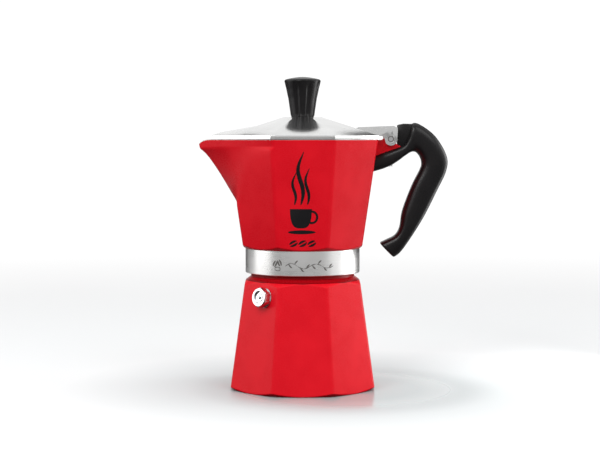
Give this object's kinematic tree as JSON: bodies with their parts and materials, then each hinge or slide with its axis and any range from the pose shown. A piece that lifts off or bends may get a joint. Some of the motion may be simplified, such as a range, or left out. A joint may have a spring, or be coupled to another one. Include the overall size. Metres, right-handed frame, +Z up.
{
  "type": "moka pot",
  "caption": "Eight-sided stovetop coffee pot: tapered boiler with safety valve, screw-on jug with spout, hinged lid with knob, and a curved side handle.",
  "frame": {"origin": "on the pot's vertical axis, in the plane of the flat bottom it stands on", "axes": "+Z up, +X towards the handle, -X towards the spout, -Y the side that shows the safety valve"},
  "size_m": [0.1752, 0.1046, 0.2179],
  "materials": {
    "red_enamel": "satin red paint over cast aluminium",
    "bare_aluminium": "satin, turned",
    "polished_aluminium": "polished",
    "steel": "plain",
    "gasket_rubber": "matt, off-white",
    "black_plastic": "soft gloss, black",
    "brass": "plain"
  },
  "bodies": {
    "boiler": {"boiler": "red_enamel", "valve_washer": "steel", "valve_body": "bare_aluminium", "valve_retainer": "steel", "valve_spring": "steel"},
    "piston": {"valve_piston": "steel"},
    "funnel": {"funnel": "bare_aluminium", "funnel_disc": "bare_aluminium"},
    "gasket": {"gasket": "gasket_rubber"},
    "filter": {"filter_disc": "bare_aluminium"},
    "jug": {"jug": "red_enamel", "collar": "bare_aluminium", "hinge_pin": "steel", "handle": "black_plastic", "handle_screw": "steel"},
    "lid": {"lid": "polished_aluminium", "knob": "black_plastic", "knob_insert": "brass", "knob_screw": "steel", "knob_washer": "steel"}
  },
  "joints": [
    {"name": "valve_slide", "type": "slide", "parent": "boiler", "child": "piston", "axis": [-0.7007, -0.7007, 0.1343], "range_m": [0, 0.0015], "stiffness_N_per_m": 800, "springref_m": -0.002, "deforming": ["valve_spring"]},
    {"name": "funnel_lift", "type": "slide", "parent": "boiler", "child": "funnel", "axis": [0, 0, 1], "range_m": [0, 0.11]},
    {"name": "jug_lift", "type": "slide", "parent": "funnel", "child": "gasket", "axis": [0, 0, 1], "range_m": [0, 0.11]},
    {"name": "jug_rise", "type": "slide", "parent": "gasket", "child": "filter", "axis": [0, 0, 1], "range_m": [0, 0.00905]},
    {"name": "jug_turn", "type": "hinge", "parent": "filter", "child": "jug", "pos_m": [0, 0, 0.082], "axis": [0, 0, 1], "range_deg": [0, 1080]},
    {"name": "lid_hinge", "type": "hinge", "parent": "jug", "child": "lid", "pos_m": [0.0615, 0, 0.17447], "axis": [0, 1, 0], "range_deg": [0, 93]}
  ],
  "couplings": [
    {"joint": "jug_rise", "follows": "jug_turn", "m_per_rad": 0.00047746}
  ]
}
